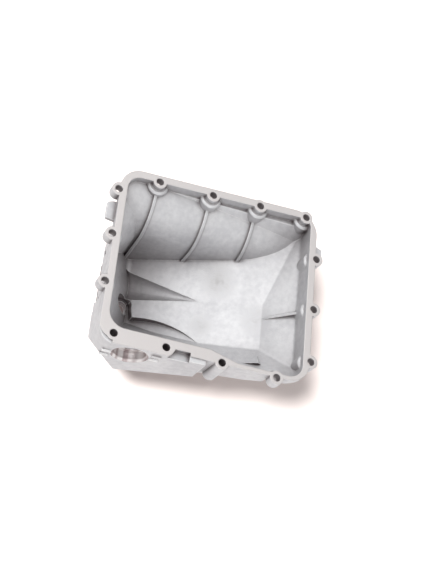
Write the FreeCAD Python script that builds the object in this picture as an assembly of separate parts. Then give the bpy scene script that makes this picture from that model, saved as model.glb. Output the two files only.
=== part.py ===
# Engine oil pan, one die casting in aluminium, open side up.
# Frame: millimetres, +Z up, origin on the machined flange face inside the bolt ring,
# +X towards the shallow end of the sump, +Y towards the long ribbed shoulder.
import FreeCAD, Part
import math
import os
from FreeCAD import Vector, Rotation, Placement

# Opening in the flange face: its size, and how far its left and back edges lie from the origin
opening_length = 178.8
opening_width = 155.5
reach_left = 88.1
reach_back = 79.0
back_angle = 2.6
opening_radius_back_left = 13.0
opening_radius_back_right = 8.0
opening_radius_front_right = 13.0
opening_radius_front_left = 16.0
opening_left = -reach_left
opening_right = opening_length - reach_left
opening_back = reach_back
opening_front = reach_back - opening_width

# Casting
wall = 3.6
inside_round = 5.0
draft = 2.0
flange_thickness = 7.0
flange_width_side = 6.5
flange_width_back = 6.8
flange_radius_back_left = 19.5
flange_radius_back_right = 22.0
flange_radius_front_left = 12.0
flange_radius_front_right = 19.0

# Floor of the sump: each face is a plane through a known point, with its slopes along X and Y
valley_x = opening_right - 24.2
valley_y = opening_back - 73.0
valley_depth = 45.0
valley_slope = 0.45
back_floor_rise = 0.20
right_slope = 1.10
front_band_x = opening_right - 38.7
front_band_depth = 23.0
front_band_slope_x = 0.414
front_band_slope_y = -0.744
front_face_band_x = opening_left + 28.1
front_face_band_depth = 46.0
front_face_band_slope_x = 0.20
front_face_band_slope_y = -1.05
left_band_depth = 42.0
left_band_slope = -1.545
corner_band_x = opening_left + 3.9
corner_band_y = opening_front - 8.0
corner_band_depth = 20.0
corner_band_slope_x = -1.4
corner_band_slope_y = -1.5

# Rounded shoulder along the back, its level ledge, and its return across the back left corner
shoulder_radius = 40.0
shoulder_width = 33.5
shoulder_top = 12.5
shoulder_fall = 0.075
ledge_depth = 9.9
ledge_width = 2.1
ledge_widening = 0.035
ledge_steepness = 60.0
ledge_bottom = 30.0
corner_shoulder_y = opening_back - 62.0
corner_shoulder_angle = 45.0

# Thick block at the front left with the sight-glass bore, and the lip that narrows the opening there
lip_width = 6.8
lip_end = opening_left + 92.1
lip_run_out = 26.0
lip_depth = 37.0
lip_radius = 15.0
block_out = 8.0
block_left_out = 5.6
block_corner_radius = 13.0
block_length = 89.0
block_top = 1.2
block_depth = 52.0
block_reach = 80.0
block_back_depth = 66.0
block_back_slope = 1.0
block_depth_x = opening_left + 21.5
block_rise = 0.37
block_undercut = 1.0
block_start = opening_front + 33.5
block_front = opening_front - block_out
block_left = opening_left - block_left_out
side_bulge_out = 4.9
side_bulge_start = opening_back - 60.0
side_bulge_run_out = 6.0
block_side_step = 3.0

# Sight-glass bore, its chamfer, and the two raised level bars on each side of it
sight_x = opening_left + 26.6
sight_z = -17.8
sight_bore = 28.0
sight_through = 22.0
sight_seat_depth = 9.0
sight_chamfer = 1.8
level_tilt = 16.0
level_gap = 8.6
level_length = 8.0
level_width = 1.8
level_proud = 1.5
level_clear = 0.4
level_rise = 1.5

# Bolt holes, M6 clearance, with their bosses, wells and collars
bolt_hole = 7.0
bolt_boss = 12.6
bolt_boss_depth = 9.5
bolt_well = 12.0
bolt_well_top = 30.0
bolt_well_length = 30.0
bolt_inner_boss_depth = 5.8
bolt_out_side = 7.5
bolt_out_front = 1.9
bolt_front_angle = -1.95
bolts_right_pitch = 51.0
bolts_right_first = opening_front + 17.9
bolts_left_y = [opening_back - 20.5, opening_back - 64.8, opening_back - 110.3]
bolts_deep_x = [opening_left + 6.2, opening_left + 52.5, opening_right - 75.5]
bolt_front_x = opening_right - 24.1
bolts_back_x = [opening_right - 5.3, opening_right - 52.2, opening_right - 99.0, opening_right - 150.2]
bolts_back_out = [1.3, 1.5, 0.3, 0.5]
collar_radius = 10.0
collar_top = 4.8
collar_round = 1.6
collar_depth = 42.0

# Ribs under three of the back collars, the gusset under the middle right bolt, and the corner step
rib_thickness = 2.6
rib_height = 2.2
gusset_slope = 1.37
gusset_thickness = 2.2
step_x = valley_x - 2.0
step_y = opening_front + 34.5
step_length = 16.5
step_width = 5.3
step_rise = 3.5
step_sunk = 1.0

# Troughs on both sides of the raised tongue, leading to the drain
trough_start = Vector(valley_x - 54.5, valley_y - 0.3, -valley_depth - 24.5)
trough_end = Vector(valley_x - 118.1, valley_y + 8.4, -valley_depth - 44.7)
trough_end_radius = 14.6
trough_overrun = 8.0
tongue_back = Vector(valley_x - 112.1, valley_y - 4.9, 0)
tongue_front = Vector(valley_x - 109.6, valley_y - 21.0, 0)
scoop_middle = Vector(valley_x - 77.5, valley_y - 26.5, 0)
scoop_end = Vector(valley_x - 52.0, valley_y - 42.5, 0)
scoop_drop = 23.5
scoop_slope = 0.62
scoop_height = 120.0
drain_x = valley_x - 119.5
drain_y = valley_y - 9.5
drain_seat_radius = 8.5
drain_seat_depth = 105.0
drain_hole = 12.4
drain_boss = 25.0
drain_boss_length = 8.0
drain_boss_edge = 1.5

# Pry recess in the front edge of the flange, and the thin lugs below the flange's level
pry_x = opening_left + 58.1
pry_length = 16.5
pry_back = 0.4
pry_lean = 6.0
pry_depth = 5.0
lug_drop = 6.0
lug_thickness = 3.5
lug_out_left = 14.4
lug_out_right = 15.0
lug_length_left = 17.5
lug_length_right = 13.5
lug_slant = 2.0
lug_fillet = 0.8
lug_left_y = opening_back - 39.5
lug_right_y = opening_back - 26.0

# Reach of the solids that only trim others, above and below the flange face and sideways
form_top = 20.0
form_bottom = 110.0
big = 400.0


def slope_plane(x, y, z, slope_x, slope_y):
    normal = Vector(slope_x, slope_y, -1.0)
    normal.normalize()
    return Vector(x, y, z), normal


def valley_plane():
    return slope_plane(valley_x, valley_y, -valley_depth, valley_slope, 0.0)


def back_floor_plane():
    return slope_plane(valley_x, valley_y, -valley_depth, valley_slope, back_floor_rise)


def right_plane():
    return slope_plane(valley_x, valley_y, -valley_depth, right_slope, 0.0)


def front_band_plane():
    return slope_plane(front_band_x, opening_front, -front_band_depth, front_band_slope_x, front_band_slope_y)


def front_face_band_plane():
    return slope_plane(front_face_band_x, opening_front, -front_face_band_depth,
                       front_face_band_slope_x, front_face_band_slope_y)


def left_band_plane():
    return slope_plane(opening_left, 0.0, -left_band_depth, left_band_slope, 0.0)


def corner_band_plane():
    return slope_plane(corner_band_x, corner_band_y, -corner_band_depth,
                       corner_band_slope_x, corner_band_slope_y)


def beyond(plane, grow):
    point, normal = plane
    block = Part.makeBox(2 * big, 2 * big, big, Vector(-big, -big, 0))
    block.Placement = Placement(point + normal * grow, Rotation(Vector(0, 0, 1), normal))
    return block


def cut_beyond(solid, planes, grow):
    for plane in planes:
        solid = solid.cut(beyond(plane, grow))
    return solid


def meet(line_a, line_b):
    (px, py), (dx, dy) = line_a
    (qx, qy), (ex, ey) = line_b
    t = ((qx - px) * ey - (qy - py) * ex) / (dx * ey - dy * ex)
    return px + dx * t, py + dy * t


def plan_corners(left, right, back, front):
    angle = math.radians(back_angle)
    along = (math.cos(angle), math.sin(angle))
    back_line = ((-math.sin(angle) * back, opening_back + math.cos(angle) * back), along)
    right_line = ((opening_right + right, 0.0), (0.0, 1.0))
    left_line = ((opening_left - left, 0.0), (0.0, 1.0))
    front_line = ((0.0, opening_front - front), (1.0, 0.0))
    return [meet(back_line, right_line), meet(back_line, left_line), meet(left_line, front_line),
            meet(front_line, right_line)]


def rounded_wire(points, radii, z):
    corners = []
    count = len(points)
    for i in range(count):
        here = Vector(points[i][0], points[i][1], z)
        before = Vector(points[i - 1][0], points[i - 1][1], z) - here
        after = Vector(points[(i + 1) % count][0], points[(i + 1) % count][1], z) - here
        before.normalize()
        after.normalize()
        half = before.getAngle(after) / 2
        reach = radii[i] / math.tan(half)
        inward = before + after
        inward.normalize()
        middle = here + inward * (radii[i] / math.sin(half) - radii[i])
        corners.append((here + before * reach, middle, here + after * reach))
    edges = []
    for i in range(count):
        start, middle, end = corners[i]
        edges.append(Part.Arc(start, middle, end).toShape())
        following = corners[(i + 1) % count][0]
        if end.distanceToPoint(following) > 1e-6:
            edges.append(Part.makeLine(end, following))
    return Part.Wire(edges)


def plan_wire(left, right, back, front, extra, z):
    radii = [opening_radius_back_right + extra, opening_radius_back_left + extra,
             opening_radius_front_left + extra, opening_radius_front_right + extra]
    return rounded_wire(plan_corners(left, right, back, front), radii, z)

def drafted_walls(grow):
    lean = math.tan(math.radians(draft))
    side = grow / math.cos(math.radians(draft))
    wires = []
    for z in (form_top, -form_bottom):
        g = side + z * lean
        wires.append(plan_wire(g, g, g, g, grow, z))
    return Part.makeLoft(wires, True, True)


def back_run():
    angle = math.radians(back_angle)
    along = Vector(math.cos(angle), math.sin(angle), 0)
    inward = Vector(math.sin(angle), -math.cos(angle), 0)
    return along, inward


def shoulder_block(grow, origin, along, inward, fall, width):
    # Profile square to the shoulder's run, so that the round is a true cylinder
    radius = shoulder_radius + grow
    centre = width - shoulder_radius
    lean = math.tan(math.radians(draft))
    axis_z = -shoulder_top - shoulder_radius
    direction = (along + Vector(0, 0, -fall)).normalize()
    up = inward.cross(direction)
    behind = -3 * shoulder_radius

    def at(s, z):
        return origin + inward * s + up * z

    top_point = at(centre, axis_z + radius)
    mid = at(centre + radius * math.sin(math.radians(45)), axis_z + radius * math.cos(math.radians(45)))
    low = at(centre + radius, axis_z)
    foot = at(centre + radius + (axis_z + 2 * form_bottom) * lean, -2 * form_bottom)
    back_foot = at(behind, -2 * form_bottom)
    back_top = at(behind, axis_z + radius)
    edges = [Part.Arc(top_point, mid, low).toShape(), Part.makeLine(low, foot),
             Part.makeLine(foot, back_foot),
             Part.makeLine(back_foot, back_top), Part.makeLine(back_top, top_point)]
    face = Part.Face(Part.Wire(edges))
    face.translate(direction * -big)
    return face.extrude(direction * 2 * big)


def ledge(grow):
    # Level ledge above the shoulder, wider towards +X, with a steep front
    along, inward = back_run()
    edge = along + inward * ledge_widening
    edge.normalize()
    steep = math.radians(ledge_steepness)
    out = edge.cross(Vector(0, 0, 1))
    normal = out * math.sin(steep) + Vector(0, 0, math.cos(steep))
    corner = Vector(0, opening_back, -ledge_depth) + inward * ledge_width
    solid = box_between((-big, -big, -ledge_bottom), (big, big, -ledge_depth + grow))
    return solid.cut(beyond((corner, normal), grow))


def shoulders(grow):
    along, inward = back_run()
    back = shoulder_block(grow, Vector(0, opening_back, 0), along, inward, shoulder_fall, shoulder_width)
    turn = math.radians(corner_shoulder_angle)
    along_corner = Vector(math.cos(turn), math.sin(turn), 0)
    inward_corner = Vector(math.sin(turn), -math.cos(turn), 0)
    origin = Vector(opening_left, corner_shoulder_y, 0)
    return back.fuse(shoulder_block(grow, origin, along_corner, inward_corner, 0.0, 0.0))


def sump_base(grow):
    planes = [valley_plane(), back_floor_plane(), right_plane(), front_band_plane(), front_face_band_plane(),
              left_band_plane(), corner_band_plane()]
    return cut_beyond(drafted_walls(grow), planes, grow)


def box_between(low, high):
    size = Vector(*high) - Vector(*low)
    return Part.makeBox(size.x, size.y, size.z, Vector(*low))


def prism(points, low, high):
    wire = Part.makePolygon([Vector(x, y, low) for x, y in points + points[:1]])
    return Part.Face(wire).extrude(Vector(0, 0, high - low))


def middle_of(edge):
    return edge.valueAt((edge.FirstParameter + edge.LastParameter) / 2)


def sump_form(grow):
    rounded = sump_base(-inside_round).makeOffsetShape(inside_round + grow, 1e-3, False, False, 0, 0)
    below_flange = rounded.common(box_between((-big, -big, -big), (big, big, 0)))
    return below_flange.cut(shoulders(-grow)).cut(ledge(-grow))


def back_trough(grow):
    axis = trough_end - trough_start
    length = axis.Length + trough_overrun
    end_radius = trough_end_radius * length / axis.Length
    cone = Part.makeCone(grow, end_radius + grow, length, trough_start, axis)
    return cut_beyond(cone, [left_band_plane()], grow)


def front_scoop(grow):
    front = Vector(scoop_end.x, opening_front, 0)
    front_left = Vector(opening_left, opening_front, 0)
    left = Vector(opening_left, tongue_back.y, 0)
    edges = [Part.makeLine(tongue_back, tongue_front),
             Part.Arc(tongue_front, scoop_middle, scoop_end).toShape(),
             Part.makeLine(scoop_end, front), Part.makeLine(front, front_left),
             Part.makeLine(front_left, left), Part.makeLine(left, tongue_back)]
    wire = Part.Wire(edges)
    if grow > 0:
        wire = wire.makeOffset2D(grow)
    solid = Part.Face(wire).extrude(Vector(0, 0, -scoop_height))
    solid.translate(Vector(0, 0, -valley_depth))
    floor = slope_plane(scoop_end.x, 0.0, -valley_depth - scoop_drop, scoop_slope, 0.0)
    return cut_beyond(solid, [front_band_plane(), front_face_band_plane(), left_band_plane(),
                             corner_band_plane(), floor], grow)


def drain_pocket(grow):
    depth = drain_seat_depth + grow
    return Part.makeCylinder(drain_seat_radius + grow, depth - valley_depth, Vector(drain_x, drain_y, -depth))


def air(grow):
    solid = sump_form(grow)
    for part in (back_trough(grow), front_scoop(grow), drain_pocket(grow)):
        solid = solid.fuse(part)
    return solid


def lip():
    front = opening_front + lip_width
    outer = opening_front - wall
    outline = [(block_left, opening_front + 2 * lip_radius), (lip_end, opening_front + 2 * lip_radius),
               (lip_end, front), (lip_end + lip_run_out, opening_front), (lip_end + lip_run_out, outer),
               (block_left, outer)]
    solid = prism(outline, -lip_depth, 0)
    points = plan_corners(0, 0, 0, -lip_width)
    radii = [opening_radius_back_right, opening_radius_back_left, lip_radius, opening_radius_front_right]
    window = Part.Face(rounded_wire(points, radii, 0)).extrude(Vector(0, 0, -2 * lip_depth))
    return solid.cut(window)


def block():
    # Body round the sight-glass bore; its left side steps in to the thicker side wall
    right = opening_left + block_length
    side = opening_left - side_bulge_out
    inner = opening_left + 2 * wall
    back = opening_front + 4 * wall
    radius = block_corner_radius
    diagonal = radius * (1 - math.sin(math.radians(45)))
    points = [Vector(block_left, block_front + radius, 0), Vector(block_left + radius, block_front, 0),
              Vector(right, block_front, 0), Vector(right, back, 0), Vector(inner, back, 0),
              Vector(inner, side_bulge_start, 0), Vector(opening_left - 1, side_bulge_start, 0),
              Vector(side, side_bulge_start - side_bulge_run_out, 0), Vector(side, block_start, 0),
              Vector(block_left, block_start - block_side_step, 0),
              Vector(block_left, block_front + radius, 0)]
    corner = Vector(block_left + diagonal, block_front + diagonal, 0)
    edges = [Part.Arc(points[0], corner, points[1]).toShape()]
    edges += [Part.makeLine(points[i], points[i + 1]) for i in range(1, len(points) - 1)]
    solid = Part.Face(Part.Wire(edges)).extrude(Vector(0, 0, block_top - block_reach))
    solid.translate(Vector(0, 0, -block_top))
    bottom = slope_plane(block_depth_x, block_front, -block_depth, block_rise, -block_undercut)
    back_bottom = slope_plane(block_depth_x, opening_front, -block_back_depth, block_rise, block_back_slope)
    return cut_beyond(solid, [bottom, back_bottom, corner_band_plane(), left_band_plane()], wall)


def flange():
    corners = plan_corners(flange_width_side, flange_width_side, flange_width_back, wall)
    radii = [flange_radius_back_right, flange_radius_back_left, flange_radius_front_left,
             flange_radius_front_right]
    plate = Part.Face(rounded_wire(corners, radii, -flange_thickness)).extrude(Vector(0, 0, flange_thickness))
    left = bolts_deep_x[0]
    right = pry_x + pry_length
    pad = box_between((left, block_front, -flange_thickness), (right, opening_front, 0))
    return plate.fuse(pad)


def back_edge_y(x):
    return opening_back + x * math.tan(math.radians(back_angle))


def front_bolt(x):
    return x, opening_front - bolt_out_front + x * math.tan(math.radians(bolt_front_angle))


def left_bolts():
    return [(opening_left - bolt_out_side, y) for y in bolts_left_y]


def right_bolts():
    return [(opening_right + bolt_out_side, bolts_right_first + i * bolts_right_pitch) for i in range(3)]


def back_bolts():
    return [(x, back_edge_y(x) + out) for x, out in zip(bolts_back_x, bolts_back_out)]


def deep_bolts():
    return [front_bolt(x) for x in bolts_deep_x]


def rim_bolts():
    return left_bolts() + [front_bolt(bolt_front_x)] + right_bolts() + back_bolts()


def boss(x, y, depth):
    return Part.makeCylinder(bolt_boss / 2, depth, Vector(x, y, -depth))


def collar(x, y):
    height = collar_depth - collar_top - collar_round
    post = Part.makeCylinder(collar_radius, height, Vector(x, y, -collar_depth))
    cap = Part.makeCone(collar_radius, collar_radius - collar_round, collar_round,
                        Vector(x, y, -collar_top - collar_round))
    return post.fuse(cap)


def well_wall(x, y):
    # Keeps a wall between a deep bolt's well and the sump
    return Part.makeCylinder(bolt_well / 2 + wall, form_bottom, Vector(x, y, wall - bolt_well_top - form_bottom))


def ribs():
    solids = []
    for x, y in back_bolts()[1:]:
        low = (x - rib_thickness / 2, valley_y, -form_bottom)
        high = (x + rib_thickness / 2, y, -collar_top - collar_round)
        solids.append(box_between(low, high).common(shoulders(rib_height)))
    return solids


def gusset():
    y = right_bolts()[1][1]
    reach = opening_right - valley_x
    foot = Vector(valley_x, y - gusset_thickness / 2, -valley_depth)
    top = foot + Vector(reach, 0, reach * gusset_slope)
    sunk = Vector(0, 0, -3 * reach)
    return Part.Face(Part.makePolygon([foot, top, top + sunk, foot + sunk, foot])).extrude(
        Vector(0, gusset_thickness, 0))


def corner_step():
    # Low wedge on the front band beside the right slope, steep towards +X
    point, normal = front_band_plane()

    def on_band(x, y, rise):
        spot = Vector(x, y, 0)
        spot.z = point.z - ((x - point.x) * normal.x + (y - point.y) * normal.y) / normal.z
        return spot + Vector(0, 0, rise)

    tip = on_band(step_x, step_y, -step_sunk)
    right = on_band(step_x + 1.0, step_y - step_length, -step_sunk)
    left = on_band(step_x + 1.0 - 4 * step_width, step_y - step_length, -step_sunk)
    top = on_band(step_x + 1.0 - step_width, step_y - step_length, step_rise)
    faces = [Part.Face(Part.makePolygon([a, b, c, a]))
             for a, b, c in ((tip, right, left), (tip, right, top), (right, left, top), (left, tip, top))]
    return Part.Solid(Part.Shell(faces))


def level_marks():
    # Pairs of level bars, the right pair a little higher than the left one
    solids = []
    reach = sight_bore / 2 + sight_chamfer + level_clear + level_length / 2
    lift = reach * math.tan(math.radians(level_tilt))
    for side in (-1, 1):
        for row in (-1, 1):
            low = Vector(sight_x + side * reach - level_length / 2, block_front - level_proud,
                         sight_z + side * lift + level_rise + row * level_gap / 2 - level_width / 2)
            solids.append(Part.makeBox(level_length, level_proud + wall, level_width, low))
    return solids


def sight_cut():
    inward = Vector(0, 1, 0)
    rim = sight_bore / 2 + sight_chamfer
    face = Vector(sight_x, block_front, sight_z)
    before = face - inward * 5
    bore = Part.makeCylinder(sight_bore / 2, sight_seat_depth + 5, before, inward)
    through = Part.makeCylinder(sight_through / 2, 60, before, inward)
    cone = Part.makeCone(rim, sight_bore / 2, sight_chamfer, face, inward)
    ring = Part.makeCylinder(rim, 5, before, inward)
    return bore.fuse([through, cone, ring])


def pry_recess():
    outline = [(pry_x - pry_lean, block_front - 2), (pry_x, block_front + 2),
               (pry_x + 3, opening_front - pry_back),
               (pry_x + pry_length, opening_front - pry_back), (pry_x + pry_length, block_front - 2)]
    return prism(outline, -pry_depth, 1)


def lug(root, edge, y, length):
    # Thin cast lug below the flange, from the wall at x = root to its outer edge
    half = length / 2
    wire = [(root, y - half - lug_slant), (edge, y - half), (edge, y + half - lug_slant),
            (edge + (root - edge) / 3, y + half), (root, y + half)]
    solid = prism(wire, -lug_drop - lug_thickness, -lug_drop)
    outer = [e for e in solid.Edges if abs(middle_of(e).x - root) > 0.01]
    upright = [e for e in outer if e.Length < lug_thickness + 0.01]
    return solid.makeFillet(lug_fillet, upright)


def drain_boss_solid():
    r = drain_boss / 2
    bottom = drain_seat_depth + drain_boss_length
    post = Part.makeCylinder(r, bottom - valley_depth - wall, Vector(drain_x, drain_y, -bottom))
    lower = [e for e in post.Edges if abs(e.BoundBox.ZMax + bottom) < 1e-6]
    return post.makeChamfer(drain_boss_edge, lower)


def outside_parts():
    solids = [flange(), block(), drain_boss_solid()]
    solids += [boss(x, y, bolt_boss_depth) for x, y in rim_bolts()]
    solids += [boss(x, y, bolt_well_top) for x, y in deep_bolts()]
    solids.append(lug(opening_left, opening_left - lug_out_left, lug_left_y, lug_length_left))
    solids.append(lug(opening_right, opening_right + lug_out_right, lug_right_y, lug_length_right))
    return solids + level_marks()


def inside_parts():
    solids = [collar(x, y) for x, y in rim_bolts()]
    solids += [boss(x, y, bolt_inner_boss_depth) for x, y in back_bolts() + [front_bolt(bolt_front_x)]]
    solids += [well_wall(x, y) for x, y in deep_bolts()]
    return solids + ribs() + [gusset(), corner_step()]


def bolt_cuts():
    cuts = []
    for x, y in rim_bolts():
        cuts.append(Part.makeCylinder(bolt_hole / 2, form_bottom, Vector(x, y, -form_bottom)))
        cuts.append(Part.makeCylinder(bolt_well / 2, bolt_well_length,
                                      Vector(x, y, -bolt_boss_depth - bolt_well_length)))
    for x, y in deep_bolts():
        cuts.append(Part.makeCylinder(bolt_hole / 2, form_bottom, Vector(x, y, -form_bottom)))
        cuts.append(Part.makeCylinder(bolt_well / 2, form_bottom, Vector(x, y, -bolt_well_top - form_bottom)))
    return cuts


def make_pan():
    hull = air(wall)
    cavity = air(0.0).cut(lip())
    pan = hull.fuse(outside_parts()).cut(cavity)
    pan = pan.fuse([solid.common(hull) for solid in inside_parts()])
    drain_foot = Vector(drain_x, drain_y, -valley_depth - form_bottom)
    drain = Part.makeCylinder(drain_hole / 2, form_bottom, drain_foot)
    for cut in [sight_cut(), pry_recess(), drain] + bolt_cuts():
        pan = pan.cut(cut)
    return pan.removeSplitter()


pan = make_pan()
os.makedirs("parts", exist_ok=True)
print("oil_pan", pan.isValid(), len(pan.Solids), len(pan.Faces), round(pan.Volume))
pan.exportStep("parts/oil_pan.step")
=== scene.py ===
import math

import bpy
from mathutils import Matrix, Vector


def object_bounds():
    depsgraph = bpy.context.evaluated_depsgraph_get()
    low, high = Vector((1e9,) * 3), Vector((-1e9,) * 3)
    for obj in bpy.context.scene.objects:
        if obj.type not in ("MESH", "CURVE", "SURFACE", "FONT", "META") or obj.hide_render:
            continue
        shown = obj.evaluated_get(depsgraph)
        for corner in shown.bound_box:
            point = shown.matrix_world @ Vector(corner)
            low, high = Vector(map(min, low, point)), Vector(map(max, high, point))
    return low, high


# Lengths are in metres, angles in degrees, lens and sensor in millimetres

# Camera that sees the part as the photograph does
CAMERA_PLACE = Vector((-0.2803, -0.4132, 0.7778))
CAMERA_ANGLES = (23.97, -22.32, 5.63)
CAMERA_LENS = 66.6
CAMERA_SENSOR = 36.0
CAMERA_NEAR = 0.01

# Light on the casting alone: a broad soft box from the upper left and a weaker one from the front
SOFT_BOX_FROM = Vector((-0.48, 0.17, 0.86))
SOFT_BOX_STRENGTH = 1.3
SOFT_BOX_ANGLE = 85.0
FRONT_FROM = Vector((0.10, -0.98, 0.12))
FRONT_STRENGTH = 0.5
FRONT_ANGLE = 30.0

# Light on the table alone, strong enough to turn it white outside the soft warm shadow
LAMP_FROM = Vector((-0.52, -0.18, 0.90))
LAMP_STRENGTH = 5.0
LAMP_ANGLE = 16.0

# Room that lights matt surfaces, by the height a ray points to: table, dim walls, bright ceiling
ROOM = (
    (-0.10, (0.66, 0.55, 0.53, 1.0)),
    (0.05, (0.22, 0.20, 0.195, 1.0)),
    (0.50, (0.25, 0.24, 0.245, 1.0)),
    (0.85, (0.62, 0.62, 0.63, 1.0)),
)

# Background that the camera and glossy reflections see
WHITE = (1.0, 1.0, 1.0, 1.0)

# Table
TABLE_DROP = 0.002
TABLE_SIZE = 4.0
TABLE_COLOUR = (0.98, 0.89, 0.85, 1.0)
TABLE_ROUGHNESS = 1.0
TABLE_GLOSS = 0.0

# Cast skin: two tones, mixed by a coarse and a fine noise
CAST_LIGHT = (0.80, 0.80, 0.81, 1.0)
CAST_DARK = (0.67, 0.67, 0.685, 1.0)
CAST_METALLIC = 0.5
CAST_ROUGHNESS = 0.50
CLOUD_SCALE = 26.0
CLOUD_DETAIL = 4.0
MOTTLE_SCALE = 210.0
MOTTLE_DETAIL = 5.0
MOTTLE_SHARE = 0.4
TONE_LOW = 0.38
TONE_HIGH = 0.60

# Blasted grain
GRAIN_SCALE = 900.0
GRAIN_DETAIL = 2.0
GRAIN_STRENGTH = 0.45
GRAIN_DEPTH = 0.0004

# Painted shade: a wide warm darkening in crease lines and hollows, and a fine dark painted contact
# shadow at the foot of ribs and bosses
CREASE_SHADE = (0.19, 0.155, 0.155, 1.0)
CREASE_REACH = 0.06
CREASE_DEEP = 0.12
CREASE_OPEN = 0.95
FOOT_SHADE = (0.50, 0.46, 0.46, 1.0)
FOOT_REACH = 0.005
FOOT_DEEP = 0.40
FOOT_OPEN = 0.85
CREASE_SAMPLES = 8

# Softened edges, with a painted highlight in plain white where the surface turns
EDGE_REACH = 0.0012
EDGE_SAMPLES = 6
HIGHLIGHT_WHITE = (1.0, 1.0, 1.0, 1.0)
EDGE_FROM = 0.99
EDGE_FULL = 0.86

# Faint stains on the floor of the sump: place, reach and how much of the stain's tone shows
STAIN = (0.42, 0.41, 0.41, 1.0)
STAINS = (
    (Vector((0.027, 0.024, -0.059)), 0.020, 0.75),
    (Vector((0.063, -0.010, -0.049)), 0.018, 0.9),
    (Vector((0.016, -0.018, -0.068)), 0.014, 0.7),
)

# Machined flange face: it points up and lies above this level
FACE_COLOUR = (0.66, 0.63, 0.62, 1.0)
FACE_ROUGHNESS = 0.36
FACE_FACING = 0.99
FACE_LEVEL = -0.0003

# Machined sight-glass bore, with painted reflection streaks along its axis
BORE_X = -0.0615
BORE_Z = -0.0178
BORE_RADIUS = 0.0162
BORE_BACK = -0.0745
BORE_REFLECTION_LIGHT = (0.92, 0.89, 0.88, 1.0)
BORE_REFLECTION_DARK = (0.40, 0.33, 0.33, 1.0)
BORE_ROUGHNESS = 0.22
STREAK_SCALE = 190.0
STREAK_DETAIL = 0.0
STREAK_LOW = 0.40
STREAK_HIGH = 0.62

# Level marks beside the bore, painted white as a highlight on their raised faces
MARK_FRONT = -0.0846
MARK_REACH = 0.036
MARK_RISE = 0.009

# Sockets of a mix node by its kind: share, first, second and result
MIX_SOCKETS = {"RGBA": (0, 6, 7, 2), "FLOAT": (0, 2, 3, 0)}

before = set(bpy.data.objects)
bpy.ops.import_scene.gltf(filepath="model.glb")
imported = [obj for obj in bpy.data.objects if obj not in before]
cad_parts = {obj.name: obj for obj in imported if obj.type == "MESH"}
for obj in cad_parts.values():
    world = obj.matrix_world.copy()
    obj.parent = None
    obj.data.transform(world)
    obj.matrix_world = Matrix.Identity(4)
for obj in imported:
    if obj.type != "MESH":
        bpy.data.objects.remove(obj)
scene = bpy.context.scene
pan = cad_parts["oil_pan"]
cad_low, cad_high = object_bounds()


# Give a socket a plain value, or join it to another node
def feed(tree, socket, value):
    if isinstance(value, (float, tuple, Vector)):
        socket.default_value = value
    else:
        tree.links.new(value, socket)


def node(tree, kind, place, **inputs):
    made = tree.nodes.new(kind)
    made.location = place
    for name, value in inputs.items():
        made.inputs[name].default_value = value
    return made


def maths(tree, operation, place, *values):
    made = node(tree, "ShaderNodeMath", place)
    made.operation = operation
    for socket, value in zip(made.inputs, values):
        feed(tree, socket, value)
    return made.outputs[0]


def vector_maths(tree, operation, place, *values):
    made = node(tree, "ShaderNodeVectorMath", place)
    made.operation = operation
    for socket, value in zip(made.inputs, values):
        feed(tree, socket, value)
    return made.outputs["Value"]


def blend(tree, kind, place, share, first, second, mode="MIX"):
    made = node(tree, "ShaderNodeMix", place)
    made.data_type = kind
    made.blend_type = mode
    share_at, first_at, second_at, result_at = MIX_SOCKETS[kind]
    feed(tree, made.inputs[share_at], share)
    feed(tree, made.inputs[first_at], first)
    feed(tree, made.inputs[second_at], second)
    return made.outputs[result_at]


# Map the range from low to high onto the range from start to end
def stretch(tree, place, value, low, high, start=0.0, end=1.0):
    made = node(tree, "ShaderNodeMapRange", place)
    made.inputs["From Min"].default_value = low
    made.inputs["From Max"].default_value = high
    made.inputs["To Min"].default_value = start
    made.inputs["To Max"].default_value = end
    tree.links.new(value, made.inputs["Value"])
    return made.outputs["Result"]


def noise(tree, place, where, scale, detail):
    made = node(tree, "ShaderNodeTexNoise", place, Scale=scale, Detail=detail)
    tree.links.new(where, made.inputs["Vector"])
    return made.outputs["Fac"]


def face_mask(tree, shape, place):
    normal = node(tree, "ShaderNodeSeparateXYZ", (-1300, -150))
    tree.links.new(shape.outputs["True Normal"], normal.inputs[0])
    facing = maths(tree, "GREATER_THAN", (-1100, -150), normal.outputs["Z"], FACE_FACING)
    level = maths(tree, "GREATER_THAN", (-1100, -300), place["Z"], FACE_LEVEL)
    return maths(tree, "MULTIPLY", (-900, -200), facing, level)


def bore_mask(tree, place):
    across = maths(tree, "SUBTRACT", (-1100, -450), place["X"], BORE_X)
    up = maths(tree, "SUBTRACT", (-1100, -600), place["Z"], BORE_Z)
    across_square = maths(tree, "MULTIPLY", (-900, -450), across, across)
    up_square = maths(tree, "MULTIPLY", (-900, -600), up, up)
    away = maths(tree, "ADD", (-700, -500), across_square, up_square)
    near = maths(tree, "LESS_THAN", (-500, -500), away, BORE_RADIUS ** 2)
    front = maths(tree, "LESS_THAN", (-700, -650), place["Y"], BORE_BACK)
    return maths(tree, "MULTIPLY", (-300, -500), near, front)


# Where the raised level marks stand, for their painted highlight
def mark_highlight_mask(tree, place):
    front = maths(tree, "LESS_THAN", (-700, -1200), place["Y"], MARK_FRONT)
    beside = maths(tree, "COMPARE", (-700, -1350), place["X"], BORE_X, MARK_REACH)
    level = maths(tree, "COMPARE", (-700, -1500), place["Z"], BORE_Z, MARK_RISE)
    near = maths(tree, "MULTIPLY", (-500, -1400), beside, level)
    return maths(tree, "MULTIPLY", (-300, -1300), front, near)


# Weight of the painted edge highlight: how far the softened normal turns, away from corners
def edge_highlight_mask(tree, shape, soft_normal, openness):
    turn = vector_maths(tree, "DOT_PRODUCT", (-400, -800), shape.outputs["Normal"], soft_normal)
    rise = stretch(tree, (-200, -800), turn, EDGE_FROM, EDGE_FULL)
    return maths(tree, "MULTIPLY", (0, -800), rise, openness)


# How open a point is, from ambient occlusion within the reach: it places painted shade, and keeps the
# painted edge highlight off corners
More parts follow.
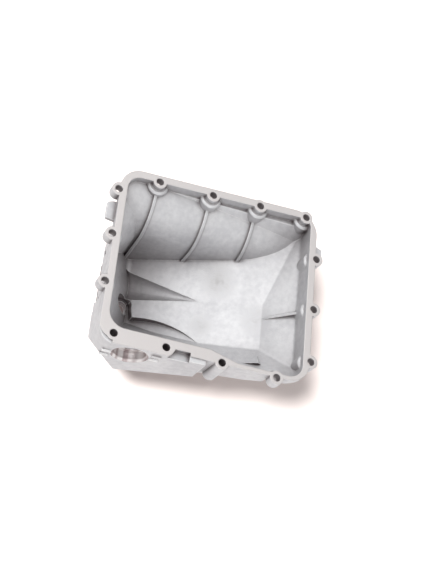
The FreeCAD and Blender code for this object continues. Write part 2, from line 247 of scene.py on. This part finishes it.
def open_air(tree, height, reach, deep, clear):
    air = node(tree, "ShaderNodeAmbientOcclusion", (-900, height), Distance=reach)
    air.samples = CREASE_SAMPLES
    return stretch(tree, (-750, height), air.outputs["AO"], deep, clear)


# Multiply painted shade into the colour: the shade tone where the point is closed in, none where it is
# open
def paint_shade(tree, height, skin, openness, tone):
    shade = blend(tree, "RGBA", (-600, height), openness, tone, WHITE)
    return blend(tree, "RGBA", (-450, height), 1.0, skin, shade, "MULTIPLY")


def cast_skin(tree, where):
    cloud = noise(tree, (-1200, 300), where, CLOUD_SCALE, CLOUD_DETAIL)
    mottle = noise(tree, (-1200, 50), where, MOTTLE_SCALE, MOTTLE_DETAIL)
    patches = blend(tree, "FLOAT", (-1050, 200), MOTTLE_SHARE, cloud, mottle)
    tone = stretch(tree, (-900, 300), patches, TONE_LOW, TONE_HIGH)
    skin = blend(tree, "RGBA", (-600, 300), tone, CAST_DARK, CAST_LIGHT)
    for row, (centre, reach, share) in enumerate(STAINS):
        height = 1400 + 200 * row
        away = vector_maths(tree, "DISTANCE", (-1050, height), where, centre)
        fade = stretch(tree, (-900, height), away, 0.0, reach, share, 0.0)
        patchy = maths(tree, "MULTIPLY", (-750, height), fade, tone)
        skin = blend(tree, "RGBA", (-600, height), patchy, skin, STAIN)
    return skin


# Painted reflection of the polished bore: dark and light streaks along its axis
def bore_painted_reflection(tree, place):
    streaks = node(tree, "ShaderNodeTexNoise", (-900, -1000), Scale=STREAK_SCALE, Detail=STREAK_DETAIL)
    streaks.noise_dimensions = "1D"
    tree.links.new(place["X"], streaks.inputs["W"])
    tone = stretch(tree, (-700, -1000), streaks.outputs["Fac"], STREAK_LOW, STREAK_HIGH)
    return blend(tree, "RGBA", (-500, -1000), tone, BORE_REFLECTION_DARK, BORE_REFLECTION_LIGHT)


def cast_metal():
    material = bpy.data.materials.new("cast_aluminium")
    material.use_nodes = True
    tree = material.node_tree
    tree.nodes.clear()
    link = tree.links.new
    output = node(tree, "ShaderNodeOutputMaterial", (900, 0))
    metal = node(tree, "ShaderNodeBsdfPrincipled", (600, 0), Metallic=CAST_METALLIC)
    link(metal.outputs[0], output.inputs[0])
    where = node(tree, "ShaderNodeTexCoord", (-1500, 300)).outputs["Object"]
    shape = node(tree, "ShaderNodeNewGeometry", (-1500, -200))
    split = node(tree, "ShaderNodeSeparateXYZ", (-1300, -300))
    link(shape.outputs["Position"], split.inputs[0])
    place = split.outputs
    edge = node(tree, "ShaderNodeBevel", (0, -300), Radius=EDGE_REACH)
    edge.samples = EDGE_SAMPLES

    # Cast skin with painted shade in crease lines and at the foot of ribs and bosses, and a painted
    # highlight on its edges
    skin = cast_skin(tree, where)
    crease_shade = open_air(tree, 600, CREASE_REACH, CREASE_DEEP, CREASE_OPEN)
    skin = paint_shade(tree, 600, skin, crease_shade, CREASE_SHADE)
    # Painted contact shadow at the foot of ribs and bosses
    foot_shade = open_air(tree, 1100, FOOT_REACH, FOOT_DEEP, FOOT_OPEN)
    skin = paint_shade(tree, 1100, skin, foot_shade, FOOT_SHADE)
    # Painted highlight in plain white on edges
    edge_highlight = edge_highlight_mask(tree, shape, edge.outputs[0], foot_shade)
    skin = blend(tree, "RGBA", (-450, 450), edge_highlight, skin, HIGHLIGHT_WHITE)

    # Machined places over the skin, with painted reflection streaks in the bore and a painted
    # highlight on the level marks
    face = face_mask(tree, shape, place)
    bore = bore_mask(tree, place)
    mark_highlight = mark_highlight_mask(tree, place)
    colour = blend(tree, "RGBA", (-300, 300), face, skin, FACE_COLOUR)
    colour = blend(tree, "RGBA", (0, 300), bore, colour, bore_painted_reflection(tree, place))
    # Painted highlight: the level marks in plain white
    colour = blend(tree, "RGBA", (200, 300), mark_highlight, colour, HIGHLIGHT_WHITE)
    link(colour, metal.inputs["Base Color"])
    rough = blend(tree, "FLOAT", (-300, 0), face, CAST_ROUGHNESS, FACE_ROUGHNESS)
    rough = blend(tree, "FLOAT", (0, 0), bore, rough, BORE_ROUGHNESS)
    link(rough, metal.inputs["Roughness"])

    # Grain over the softened edges
    grain = noise(tree, (0, -500), where, GRAIN_SCALE, GRAIN_DETAIL)
    bump = node(tree, "ShaderNodeBump", (300, -300), Strength=GRAIN_STRENGTH, Distance=GRAIN_DEPTH)
    link(grain, bump.inputs["Height"])
    link(edge.outputs[0], bump.inputs["Normal"])
    link(bump.outputs[0], metal.inputs["Normal"])
    return material


def add_camera():
    data = bpy.data.cameras.new("camera")
    data.lens = CAMERA_LENS
    data.sensor_width = CAMERA_SENSOR
    data.clip_start = CAMERA_NEAR
    camera = bpy.data.objects.new("camera", data)
    camera.location = CAMERA_PLACE
    camera.rotation_euler = [math.radians(angle) for angle in CAMERA_ANGLES]
    scene.collection.objects.link(camera)
    scene.camera = camera


def add_table():
    half = TABLE_SIZE / 2
    z = cad_low.z - TABLE_DROP
    corners = [(-half, -half, z), (half, -half, z), (half, half, z), (-half, half, z)]
    mesh = bpy.data.meshes.new("table")
    mesh.from_pydata(corners, [], [(0, 1, 2, 3)])
    table = bpy.data.objects.new("table", mesh)
    material = bpy.data.materials.new("table")
    material.use_nodes = True
    surface = material.node_tree.nodes["Principled BSDF"]
    surface.inputs["Base Color"].default_value = TABLE_COLOUR
    surface.inputs["Roughness"].default_value = TABLE_ROUGHNESS
    surface.inputs["Specular IOR Level"].default_value = TABLE_GLOSS
    mesh.materials.append(material)
    scene.collection.objects.link(table)
    table.visible_diffuse = False
    table.visible_glossy = False
    return table


def group_of(name, thing):
    group = bpy.data.collections.new(name)
    group.objects.link(thing)
    return group


def add_sun(name, direction, strength, angle, lit):
    data = bpy.data.lights.new(name, "SUN")
    data.energy = strength
    data.angle = math.radians(angle)
    sun = bpy.data.objects.new(name, data)
    sun.rotation_mode = "QUATERNION"
    sun.rotation_quaternion = direction.to_track_quat("Z", "Y")
    scene.collection.objects.link(sun)
    sun.light_linking.receiver_collection = lit


def add_lights(table):
    only_pan = group_of("lit_pan", pan)
    only_table = group_of("lit_table", table)
    add_sun("soft_box", SOFT_BOX_FROM, SOFT_BOX_STRENGTH, SOFT_BOX_ANGLE, only_pan)
    add_sun("front_box", FRONT_FROM, FRONT_STRENGTH, FRONT_ANGLE, only_pan)
    add_sun("lamp", LAMP_FROM, LAMP_STRENGTH, LAMP_ANGLE, only_table)


# Tones of the room by height, from straight down at -1 to straight up at 1
def room_tones(tree):
    where = node(tree, "ShaderNodeTexCoord", (-700, -100))
    split = node(tree, "ShaderNodeSeparateXYZ", (-500, -100))
    tree.links.new(where.outputs["Generated"], split.inputs[0])
    height = stretch(tree, (-300, -100), split.outputs["Z"], -1.0, 1.0)
    tones = node(tree, "ShaderNodeValToRGB", (-100, -100))
    tree.links.new(height, tones.inputs[0])
    stops = tones.color_ramp.elements
    for level, colour in ROOM[1:-1]:
        stops.new((level + 1) / 2)
    for stop, (level, colour) in zip(stops, ROOM):
        stop.position = (level + 1) / 2
        stop.color = colour
    return tones.outputs[0]


def add_room():
    world = bpy.data.worlds.new("room")
    scene.world = world
    world.use_nodes = True
    tree = world.node_tree
    tree.nodes.clear()
    output = node(tree, "ShaderNodeOutputWorld", (600, 0))
    lit = node(tree, "ShaderNodeBackground", (200, -100))
    tree.links.new(room_tones(tree), lit.inputs["Color"])
    seen = node(tree, "ShaderNodeBackground", (200, 100), Color=WHITE)
    rays = node(tree, "ShaderNodeLightPath", (0, 300)).outputs
    sees_white = maths(tree, "MAXIMUM", (200, 300), rays["Is Camera Ray"], rays["Is Glossy Ray"])
    pick = node(tree, "ShaderNodeMixShader", (400, 0))
    tree.links.new(sees_white, pick.inputs[0])
    tree.links.new(lit.outputs[0], pick.inputs[1])
    tree.links.new(seen.outputs[0], pick.inputs[2])
    tree.links.new(pick.outputs[0], output.inputs[0])


pan.data.materials.clear()
pan.data.materials.append(cast_metal())
add_camera()
add_lights(add_table())
add_room()

scene.view_settings.view_transform = "Standard"
